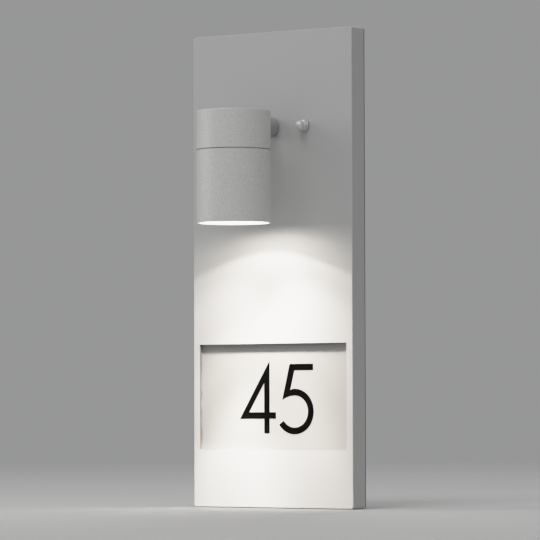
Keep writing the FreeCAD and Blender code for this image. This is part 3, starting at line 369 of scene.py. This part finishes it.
def seats(node):
    """The boxes of the separate solids in a CAD node."""
    bm = bmesh.new()
    bm.from_mesh(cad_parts[node].data)
    bmesh.ops.remove_doubles(bm, verts=bm.verts, dist=WELD)
    boxes, waiting = [], set(bm.verts)
    while waiting:
        solid = [waiting.pop()]
        for vert in solid:
            near = {edge.other_vert(vert) for edge in vert.link_edges} & waiting
            waiting -= near
            solid.extend(near)
        reach = list(zip(*(vert.co for vert in solid)))
        boxes.append((Vector(map(min, reach)), Vector(map(max, reach))))
    bm.free()
    return sorted(boxes, key=lambda box: tuple(box[0]))


def ends(boxes, along, end):
    """The middle of each box's low or high end, along an axis."""
    spots = []
    for box in boxes:
        spot = (box[0] + box[1]) / 2
        spot[along] = box[end][along]
        spots.append(spot)
    return spots


def turned(section, closed=False):
    """A part turned about +Z, from points of (radius, height)."""
    bm = bmesh.new()
    points = [bm.verts.new((radius, 0, height)) for radius, height in section]
    following = points[1:] + points[:1] if closed else points[1:]
    edges = [bm.edges.new(pair) for pair in zip(points, following)]
    bmesh.ops.spin(bm, geom=points + edges, cent=(0, 0, 0), axis=(0, 0, 1),
                   angle=2 * math.pi, steps=ROUND, use_merge=True)
    bmesh.ops.remove_doubles(bm, verts=bm.verts, dist=TURNED_WELD)
    return bm


def thread(size, start, end):
    """Section points of a thread from one height to another."""
    radius, pitch = size
    turns = max(1, round(abs(end - start) / pitch))
    step = (end - start) / turns
    root = radius - THREAD_DEPTH * pitch
    crests = [(share, start + (turn + rise) * step)
              for turn in range(turns) for share, rise in ((root, 0), (radius, 0.5))]
    return crests + [(root, end)]


def draw_flats(bm, flats, bottom, top):
    """Draw a turned blank's rim out to six flats, which a cone cuts at their corners."""
    inner = flats / 2
    rim = [vert for vert in bm.verts if vert.co.xy.length > NUT_RIM * inner]
    for vert in rim:
        sixth = math.atan2(vert.co.y, vert.co.x) % (math.pi / 3) - math.pi / 6
        reach = inner / math.cos(sixth)
        drop = (reach - NUT_FACE * inner) * math.tan(CROWN)
        outward = vert.co.xy.normalized() * reach
        lower = vert.co.z < (bottom + top) / 2
        vert.co = (outward.x, outward.y, bottom + drop if lower else top - drop)


def nut(flats, thick, bore):
    """A plain nut with its middle at the origin."""
    half, face = thick / 2, NUT_FACE * flats / 2
    bm = turned([(bore, EDGE_BREAK - half), (bore + EDGE_BREAK, -half), (face, -half),
                 (flats / 2, -half), (flats / 2, half), (face, half),
                 (bore + EDGE_BREAK, half), (bore, half - EDGE_BREAK)], closed=True)
    draw_flats(bm, flats, -half, half)
    return bm


def press_recess(bm, width, depth, crossed):
    """Close a head's open top, and press a cross or a slot into it."""
    rim = [edge for edge in bm.edges if edge.is_boundary]
    top = bmesh.ops.edgeloop_fill(bm, edges=rim)["faces"]
    for normal in ((1, 0, 0), (0, 1, 0)) if crossed else ((1, 0, 0),):
        for side in (-0.5, 0.5):
            parts = dict.fromkeys(item for face in top
                                  for item in (face, *face.edges, *face.verts))
            cut = bmesh.ops.bisect_plane(bm, geom=list(parts), dist=CUT_WELD,
                                         plane_co=Vector(normal) * side * width, plane_no=normal)
            top = [item for item in cut["geom"] if isinstance(item, bmesh.types.BMFace)]
    arms = []
    for face in top:
        middle = face.calc_center_bounds()
        if abs(middle.x) < width / 2 or (crossed and abs(middle.y) < width / 2):
            arms.append(face)
    pressed = bmesh.ops.extrude_face_region(bm, geom=arms)["geom"]
    bmesh.ops.delete(bm, geom=arms, context="FACES")
    taper = RECESS_TAPER if crossed else 1.0
    floor = [item for item in pressed if isinstance(item, bmesh.types.BMVert)]
    bmesh.ops.scale(bm, verts=floor, vec=(taper, taper, 1))
    bmesh.ops.translate(bm, verts=floor, vec=(0, 0, -depth))


def screw(head_radius, head_thick, size, length):
    """A cross-head screw whose head's top is at the origin, facing up."""
    shank = size[0]
    tip = EDGE_BREAK * 2
    bm = turned([(HEAD_TOP * head_radius, 0),
                 *((out * head_radius, -down * head_thick) for out, down in HEAD_SIDE),
                 (shank, -head_thick), *thread(size, -head_thick, tip - length),
                 (shank - 2 * tip, -length), (0, -length)])
    press_recess(bm, RECESS_WIDTH * head_radius, RECESS_DEPTH * head_thick, True)
    return bm


def set_down(template, spots, facing):
    """Copies of a fastener at the spots, turned about X."""
    shape = bpy.data.meshes.new("fastener")
    bmesh.ops.recalc_face_normals(template, faces=template.faces)
    template.to_mesh(shape)
    template.free()
    bm = bmesh.new()
    for spot in spots:
        placed = shape.copy()
        placed.transform(Matrix.Translation(spot) @ Matrix.Rotation(facing, 4, "X"))
        bm.from_mesh(placed)
        bpy.data.meshes.remove(placed)
    bpy.data.meshes.remove(shape)
    return bm


def set_screws(node, body, finish, facing, head_thick, size):
    """Screws in the places of a CAD node's, which share its outer sizes."""
    along = ALONG_Z if facing == FACING_DOWN else ALONG_Y
    outer = HIGH_END if facing == FACING_BACK else LOW_END
    boxes = seats(node)
    low, high = boxes[0]
    template = screw((high.x - low.x) / 2, head_thick, size, high[along] - low[along])
    finished(node + "_pressed", set_down(template, ends(boxes, along, outer), facing), body,
             finish, [node])


zinc = plated("zinc_plate", ZINC_GREY, roughness=0.33)

for node, body, bore in (("clip_nuts", "panel", M3[0]), ("terminal_nuts", "panel", M3[0]),
                         ("rod_nuts", "panel", M10_FINE[0]), ("stud_locknuts", "bracket", M5[0])):
    boxes = seats(node)
    size = boxes[0][1] - boxes[0][0]
    spots = [(low + high) / 2 for low, high in boxes]
    finished(node + "_chamfered", set_down(nut(size.z, size.y, bore), spots, FACING_FRONT),
             body, zinc, [node])

for node in ("clip_studs", "terminal_studs"):
    boxes = seats(node)
    length = boxes[0][1].y - boxes[0][0].y
    rolled = turned([(0, 0), (M3[0], 0), *thread(M3, 0, length), (0, length)])
    finished(node + "_rolled", set_down(rolled, ends(boxes, ALONG_Y, LOW_END), FACING_BACK),
             "panel", zinc, [node])

low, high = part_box("arm_rod")
length = high.y - low.y
rolled = turned([(ROD_BORE, 0), *thread(M10_FINE, 0, length), (ROD_BORE, length)], closed=True)
finished("hollow_rod", set_down(rolled, [Vector((0, low.y, 0))], FACING_BACK), "panel",
         zinc, ["arm_rod"])

for node, body, facing, head_thick, size in (
        ("bracket_studs", "bracket", FACING_BACK, 0.0022, M5),
        ("socket_screws", "panel", FACING_DOWN, 0.0018, M2_5),
        ("strap_screws", "panel", FACING_DOWN, 0.002, M3)):
    set_screws(node, body, zinc, facing, head_thick, size)
dress(zinc, "plate_clips", "rod_washers")

# ---- Bracket ----
# Galvanised steel strip, pressed to a raised middle and slotted at its feet.
# The zinc has set in broad crystals. A rubber grommet lines the cable's way in.

GALV_GREY = (0.52, 0.535, 0.55, 1)
GALV_CRYSTALS = 240       # in a metre
GALV_RELIEF = 0.00001

galvanised, tree, shader, place = new_finish("galvanised_sheet", GALV_GREY, roughness=0.4,
                                             metallic=1.0)
crystals = tree.nodes.new("ShaderNodeTexVoronoi")
crystals.inputs["Scale"].default_value = GALV_CRYSTALS
tree.links.new(place, crystals.inputs["Vector"])
flake = tree.nodes.new("ShaderNodeSeparateColor")
tree.links.new(crystals.outputs["Color"], flake.inputs["Color"])
mix_base(tree, shader, flake.outputs["Red"], shade(GALV_GREY, 0.72), shade(GALV_GREY, 1.12))
vary_gloss(tree, shader, flake.outputs["Green"], 0.28, 0.52, 0, 1)
raised(tree, shader, noise(tree, place, 1300), GALV_RELIEF)
dress(galvanised, "wall_bracket", "socket_bracket")
dress(black_rubber, "cable_grommet")

# ---- Domed nuts ----
# Two nickel-plated cap nuts, turned and satin finished, each on a plated washer
# over a rubber seal.

NICKEL_WHITE = (0.78, 0.777, 0.768, 1)
NICKEL_RELIEF = 0.000001
DOME_HEX = 0.0034
DOME_RADIUS = 0.00375
DOME_BORE = 0.00256
DOME_WALL = 0.0022
DOME_STEPS = 12
WASHER_CLEAR = 0.0003

nickel, tree, shader, place = new_finish("satin_nickel", NICKEL_WHITE, roughness=0.5, metallic=1.0)
vary_gloss(tree, shader, noise(tree, place, 700), 0.58, 0.66)
raised(tree, shader, noise(tree, place, 2500), NICKEL_RELIEF)
boxes = seats("cap_nuts")
size = boxes[0][1] - boxes[0][0]
face = NUT_FACE * size.z / 2
dome_base = size.y - DOME_RADIUS
dome = [(DOME_RADIUS * math.cos(rise), dome_base + DOME_RADIUS * math.sin(rise))
        for rise in (math.pi / 2 * step / DOME_STEPS for step in range(DOME_STEPS))]
bm = turned([(0, size.y - DOME_WALL), (DOME_BORE, size.y - DOME_WALL), (DOME_BORE, EDGE_BREAK),
             (DOME_BORE + EDGE_BREAK, 0), (face, 0), (size.z / 2, 0), (size.z / 2, DOME_HEX),
             (face, DOME_HEX), (DOME_RADIUS, DOME_HEX), *dome, (0, size.y)])
draw_flats(bm, size.z, 0, DOME_HEX)
finished("domed_nuts", set_down(bm, ends(boxes, ALONG_Y, HIGH_END), FACING_FRONT), "panel",
         nickel, ["cap_nuts"])

boxes = seats("cap_washers")
size = boxes[0][1] - boxes[0][0]
outer, thick = size.z / 2, size.y
bore = M5[0] + WASHER_CLEAR
bm = turned([(bore, 0), (outer, 0), (outer, thick - EDGE_BREAK), (outer - EDGE_BREAK, thick),
             (bore + EDGE_BREAK, thick), (bore, thick - EDGE_BREAK)], closed=True)
finished("turned_washers", set_down(bm, ends(boxes, ALONG_Y, HIGH_END), FACING_FRONT), "panel",
         nickel, ["cap_washers"])
dress(black_rubber, "cap_nut_seals")

# ---- Arm and lamp shell ----
# A turned arm whose coat is the tray's made darker, partly for a darker coat and
# partly as painted shade from the lamp above it, and a cast cap and drawn sleeve
# whose paler coat is a little mottled. Rubber seals the arm at the tray, and the
# cap's joint.

# How much darker the arm is than the tray: partly its own coat, partly painted shade.
ARM_DARKER_AND_SHADED = 0.72
LAMP_GREY = (0.70, 0.70, 0.683, 1)
LAMP_RELIEF = 0.00007
LAMP_MOTTLE = 600
JOINT_GREY = (0.13, 0.13, 0.128, 1)

# The arm's coat is the tray's coat darkened: partly a darker coat, partly painted shade from the
# lamp above.
arm_coat_and_painted_shade = powder_coat("arm_coat_and_painted_shade", COAT_RELIEF, shade(COAT_GREY, ARM_DARKER_AND_SHADED))[0]
dress(arm_coat_and_painted_shade, "arm")
dress(black_rubber, "arm_seal")
lamp_coat, tree, shader, place = powder_coat("lamp_coat", LAMP_RELIEF, LAMP_GREY)
mottle = spread(tree, noise(tree, place, LAMP_MOTTLE), 0.93, 1.05)
overlay(tree, shader, mottle, 1.0, "MULTIPLY")
dress(lamp_coat, "lamp_cap", "lamp_sleeve")
dress(rubber("grey_rubber", JOINT_GREY), "head_seal")

# ---- Lamp glass ----
# A toughened disc with an etched inner face, bedded in clear silicone. Lit from
# behind, it glows evenly.

GLASS_GREY = (0.45, 0.45, 0.435, 1)
GLASS_ALPHA = 0.3
GLASS_LIT = (1.0, 0.965, 0.90, 1)
GLASS_GLOW = 1.5
GLASS_RELIEF = 0.00001
BEAD_MIDDLING = (0.80, 0.80, 0.77, 1)
BEAD_DARK = (0.72, 0.72, 0.69, 1)
BEAD_LIGHT = (0.83, 0.83, 0.80, 1)


def glowing(shader, colour, strength):
    """Make a finish give off light."""
    shader.inputs["Emission Color"].default_value = colour
    shader.inputs["Emission Strength"].default_value = strength


glass, tree, shader, place = new_finish("etched_glass", GLASS_GREY, roughness=0.3)
shader.inputs["Alpha"].default_value = GLASS_ALPHA
glowing(shader, GLASS_LIT, GLASS_GLOW)
raised(tree, shader, noise(tree, place, 1800), GLASS_RELIEF)
dress(glass, "front_glass")

bead, tree, shader, place = new_finish("silicone_bead", BEAD_MIDDLING, roughness=0.5)
clouded(tree, shader, place, 200, BEAD_DARK, BEAD_LIGHT)
dress(bead, "glass_seal")

# ---- Bulb ----
# A 50 mm reflector bulb: glass with a vapour-coated aluminium mirror, and a
# pressed lens in front.

MIRROR_GREY = (0.78, 0.78, 0.78, 1)
MIRROR_PATCHES = 40
LENS_GREY = (0.45, 0.445, 0.43, 1)
LENS_LIT = (1.0, 0.93, 0.80, 1)
LENS_GLOW = 1.2
LENS_PILLOWS = 320        # in a metre
LENS_RELIEF = 0.0008

mirror = plated("aluminised_glass", MIRROR_GREY, 0.12, MIRROR_PATCHES)
dress(mirror, "bulb_body")

lens, tree, shader, place = new_finish("bulb_lens_glass", LENS_GREY, roughness=0.15)
glowing(shader, LENS_LIT, LENS_GLOW)
pillows = tree.nodes.new("ShaderNodeTexVoronoi")
pillows.inputs["Scale"].default_value = LENS_PILLOWS
tree.links.new(place, pillows.inputs["Vector"])
raised(tree, shader, pillows.outputs["Distance"], LENS_RELIEF)
dress(lens, "bulb_lens")

# ---- Lamp holder ----
# Steatite ceramic, pressed and fired unglazed, with faint iron specks. Keyholes
# in its face take the bulb's pins.

CERAMIC_WHITE = (0.80, 0.775, 0.72, 1)
CERAMIC_RELIEF = 0.00003

ceramic, tree, shader, place = new_finish("steatite", CERAMIC_WHITE, roughness=0.62)
specks = spread(tree, noise(tree, place, 1100, 1.0), 0, 1, 0.70, 0.74)
mix_base(tree, shader, specks, CERAMIC_WHITE, shade(CERAMIC_WHITE, 0.55))
raised(tree, shader, noise(tree, place, 2200, 3.0), CERAMIC_RELIEF)
dress(ceramic, "lamp_socket")

# ---- Wiring ----
# Natural polyamide block with brass screws, and three silicone-sheathed leads.
# The bulb's pins are brass as well. The earth tag and earth washer are tinned.

POLYAMIDE = (0.70, 0.68, 0.62, 1)
POLYAMIDE_DEPTH = 0.002   # how far light gets in
BRASS_YELLOW = (0.70, 0.51, 0.22, 1)
TIN_GREY = (0.68, 0.675, 0.66, 1)
WIRING_RELIEF = 0.00002
M4 = (0.002, 0.0007)
GRUB_PITCH = 0.0005
GRUB_SLOT_WIDTH = 0.0005
GRUB_SLOT_DEPTH = 0.001

polyamide, tree, shader, place = new_finish("natural_polyamide", POLYAMIDE, roughness=0.45)
shader.inputs["Subsurface Weight"].default_value = 0.15
shader.inputs["Subsurface Scale"].default_value = POLYAMIDE_DEPTH
clouded(tree, shader, place, 80, shade(POLYAMIDE, 0.94), shade(POLYAMIDE, 1.04))
raised(tree, shader, noise(tree, place, 1600), WIRING_RELIEF)
dress(polyamide, "terminal_block")

brass = plated("brass", BRASS_YELLOW, roughness=0.26)
set_screws("earth_screw", "bracket", brass, FACING_FRONT, 0.0026, M4)
set_screws("earth_tag_screw", "panel", brass, FACING_DOWN, 0.0022, M4)
boxes = seats("terminal_screws")
low, high = boxes[0]
radius, length = (high.z - low.z) / 2, high.y - low.y
grub = turned([(HEAD_TOP * radius, 0), (radius, -EDGE_BREAK),
               *thread((radius, GRUB_PITCH), -EDGE_BREAK, -length), (0, -length)])
press_recess(grub, GRUB_SLOT_WIDTH, GRUB_SLOT_DEPTH, False)
finished("slotted_grub_screws", set_down(grub, ends(boxes, ALONG_Y, HIGH_END), FACING_BACK),
         "panel", brass, ["terminal_screws"])
dress(brass, "bulb_pins")
tinned = plated("tinned_copper", TIN_GREY, roughness=0.3)
dress(tinned, "earth_tag", "earth_washer")

for lead, name, colour in (("live_lead", "brown_sheath", (0.17, 0.075, 0.035, 1)),
                           ("neutral_lead", "blue_sheath", (0.03, 0.11, 0.36, 1)),
                           ("earth_lead", "green_sheath", (0.09, 0.34, 0.08, 1))):
    sheath, tree, shader, place = new_finish(name, colour, roughness=0.5)
    clouded(tree, shader, place, 300, shade(colour, 0.85), shade(colour, 1.1))
    raised(tree, shader, noise(tree, place, 2400), WIRING_RELIEF)
    dress(sheath, lead)

# ---- Lamplight ----
# The light that the bulb throws down the tray: soft discs at its lens and at the
# glass, and eight spots for the mirror's edge and cone, the skirts to both sides
# and the narrow beams down the tray. It goes with the lamp.

LENS_GAP = 0.0002         # the lights hang just clear of the lens and the glass
GLASS_GAP = 0.001
AIM_DROP = 0.2
lens_low, lens_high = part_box("bulb_lens")
BULB_MOUTH = Vector(((lens_low.x + lens_high.x) / 2, (lens_low.y + lens_high.y) / 2,
                     lens_low.z - LENS_GAP))
LAMP_WARMTH = (1.0, 0.905, 0.81)
BELOW_BULB = BULB_MOUTH - Vector((0, 0, AIM_DROP))
BELOW_GLASS = Vector((BULB_MOUTH.x, BULB_MOUTH.y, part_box("front_glass")[0].z - GLASS_GAP))
GLASS_DISC = 0.058
LENS_DISC = 0.044
CRISP_SOURCE = 0.006      # a spot's radius, which softens its shadows
SOFT_SOURCE = 0.016


def place_light(name, light, spot, aim):
    """Hang a light at a spot, turned to an aim."""
    holder = bpy.data.objects.new(name, light)
    holder.location = spot
    holder.rotation_euler = (Vector(aim) - Vector(spot)).to_track_quat("-Z", "Y").to_euler()
    bpy.context.scene.collection.objects.link(holder)
    return holder


unlit = bpy.data.collections.new("out_of_the_lamplight")


def down_light(name, kind, power, aim, spot=BULB_MOUTH, node="lamp_socket", **settings):
    """A light in the lamp, which goes with a CAD node."""
    light = bpy.data.lights.new(name, kind)
    light.energy = power
    light.color = LAMP_WARMTH
    for key, setting in settings.items():
        setattr(light, key, setting)
    lamp = place_light(name, light, spot, aim)
    lamp.visible_camera = False
    lamp.light_linking.receiver_collection = unlit
    lamp.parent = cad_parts[node]


down_light("glass_glow", "AREA", 0.080, BELOW_BULB, BELOW_GLASS, "front_glass", shape="DISK",
           size=GLASS_DISC)
down_light("lens_glow", "AREA", 0.165, BELOW_BULB, shape="DISK", size=LENS_DISC)
# Half angle in degrees, watts, share of the cone that fades, source and aim.
for name, half_angle, power, blend, source, aim in (
        ("mirror_edge", 64.5, 1.289, 0.06, CRISP_SOURCE, BELOW_BULB),
        ("mirror_cone", 45, 13.0, 1.0, SOFT_SOURCE, BELOW_BULB),
        ("left_skirt", 36, 4.3, 1.0, SOFT_SOURCE, (-0.06, -0.03, -0.22)),
        ("right_skirt", 36, 6.0, 1.0, SOFT_SOURCE, (0.045, -0.03, -0.22)),
        ("beam_left", 16, 49.0, 1.0, SOFT_SOURCE, (-0.055, -0.0205, -0.38)),
        ("beam_side", 18, 5.5, 1.0, SOFT_SOURCE, (-0.06, -0.0159, -0.25)),
        ("beam_right", 16, 22.0, 1.0, SOFT_SOURCE, (0.055, -0.0205, -0.38)),
        ("beam_tail", 13, 13.6, 1.0, SOFT_SOURCE, (0.0, -0.0205, -0.40))):
    down_light(name, "SPOT", power, aim, spot_blend=blend,
               spot_size=2 * math.radians(half_angle), shadow_soft_size=source)

# ---- Floor, studio light and camera ----
# A plain pale floor at the tray's foot, fading into an even grey surround, five
# large soft lights, and the photograph's long lens.

FLOOR_GREY = (0.70, 0.70, 0.69, 1)
FLOOR_DARK = (0.69, 0.69, 0.68, 1)
FLOOR_LIGHT = (0.71, 0.71, 0.70, 1)
FLOOR_REACH = 4
FLOOR_DROP = 0.0003
FADE_SCALE = 0.28         # one over the fade's radius in metres
SURROUND = (0.30, 0.301, 0.303, 1)

bm = bmesh.new()
bmesh.ops.create_grid(bm, x_segments=1, y_segments=1, size=FLOOR_REACH)
bmesh.ops.translate(bm, verts=bm.verts, vec=(0, 0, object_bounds()[0].z - FLOOR_DROP))
mesh = bpy.data.meshes.new("floor")
bm.to_mesh(mesh)
bm.free()
floor = bpy.data.objects.new("floor", mesh)
bpy.context.scene.collection.objects.link(floor)
floor_finish, tree, shader, place = new_finish("pale_floor", FLOOR_GREY, roughness=0.9)
clouded(tree, shader, place, 3, FLOOR_DARK, FLOOR_LIGHT)
fade = tree.nodes.new("ShaderNodeTexGradient")
fade.gradient_type = "QUADRATIC_SPHERE"
wide = tree.nodes.new("ShaderNodeMapping")
wide.inputs["Scale"].default_value = (FADE_SCALE, FADE_SCALE, FADE_SCALE)
tree.links.new(place, wide.inputs["Vector"])
tree.links.new(wide.outputs["Vector"], fade.inputs["Vector"])
tree.links.new(spread(tree, fade.outputs["Fac"], 0, 1, 0.05, 0.8), shader.inputs["Alpha"])
mesh.materials.append(floor_finish)
for thing in (floor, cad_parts["front_glass"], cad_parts["bulb_lens"]):
    unlit.objects.link(thing)
for link in unlit.collection_objects:
    link.light_linking.link_state = "EXCLUDE"

world = bpy.data.worlds.new("studio")
world.use_nodes = True
world.node_tree.nodes["Background"].inputs["Color"].default_value = SURROUND
bpy.context.scene.world = world

SIGN_MIDDLE = Vector((0, -0.03, -0.12))
STUDIO_REACH = 3.0
SOFTBOX = 1.4


def soft_light(name, side, rise, power):
    """A square soft light, so many degrees to the side and up, seen from the sign."""
    side, rise = math.radians(side), math.radians(rise)
    light = bpy.data.lights.new(name, "AREA")
    light.size = SOFTBOX
    light.energy = power
    direction = Vector((math.sin(side) * math.cos(rise), -math.cos(side) * math.cos(rise),
                        math.sin(rise)))
    soft = place_light(name, light, SIGN_MIDDLE + direction * STUDIO_REACH, SIGN_MIDDLE)
    soft.visible_camera = False


for name, side, rise, power in (("key_light", -60, 20, 14.9), ("front_light", 5, 52, 23.5),
                                ("fill_light", 30, 20, 2.7), ("side_light", 60, 20, 1.6),
                                ("back_light", -150, 30, 11)):
    soft_light(name, side, rise, power)

EYE = Vector((1.7206, -2.5618, -0.2426))
TURN = math.radians(34.13)
PITCH = math.radians(2.23)
ROLL = math.radians(-0.16)
LENS_LENGTH = 238.0       # millimetres
SENSOR_WIDTH = 36.0
CLIP_END = 200
look = Vector((-math.sin(TURN) * math.cos(PITCH), math.cos(TURN) * math.cos(PITCH),
               math.sin(PITCH)))
lens_data = bpy.data.cameras.new("camera")
lens_data.lens = LENS_LENGTH
lens_data.sensor_width = SENSOR_WIDTH
lens_data.clip_end = CLIP_END
camera = bpy.data.objects.new("camera", lens_data)
upright = look.to_track_quat("-Z", "Y").to_matrix()
camera.matrix_world = Matrix.Translation(EYE) @ (upright @ Matrix.Rotation(ROLL, 3, "Z")).to_4x4()
bpy.context.scene.collection.objects.link(camera)
bpy.context.scene.camera = camera

# Tones are kept up to the shoulder, and past it highlights flatten out.
SHOULDER = 0.45
TOP_TONE = 0.955
BRIGHTEST = 6.0
CURVE_STEPS = (SHOULDER, 0.6, 0.8, 1.1, 1.5, 2.2, 3.2)
ALL_CHANNELS = 3          # the tone curve that works on red, green and blue together
view = bpy.context.scene.view_settings
view.view_transform = "Standard"
view.use_curve_mapping = True
tones = view.curve_mapping
tones.clip_max_x = BRIGHTEST
curve = tones.curves[ALL_CHANNELS]
curve.points[-1].location = (BRIGHTEST, TOP_TONE)
room = TOP_TONE - SHOULDER
for light_in in CURVE_STEPS:
    curve.points.new(light_in, SHOULDER + room * (1 - math.exp((SHOULDER - light_in) / room)))
tones.update()
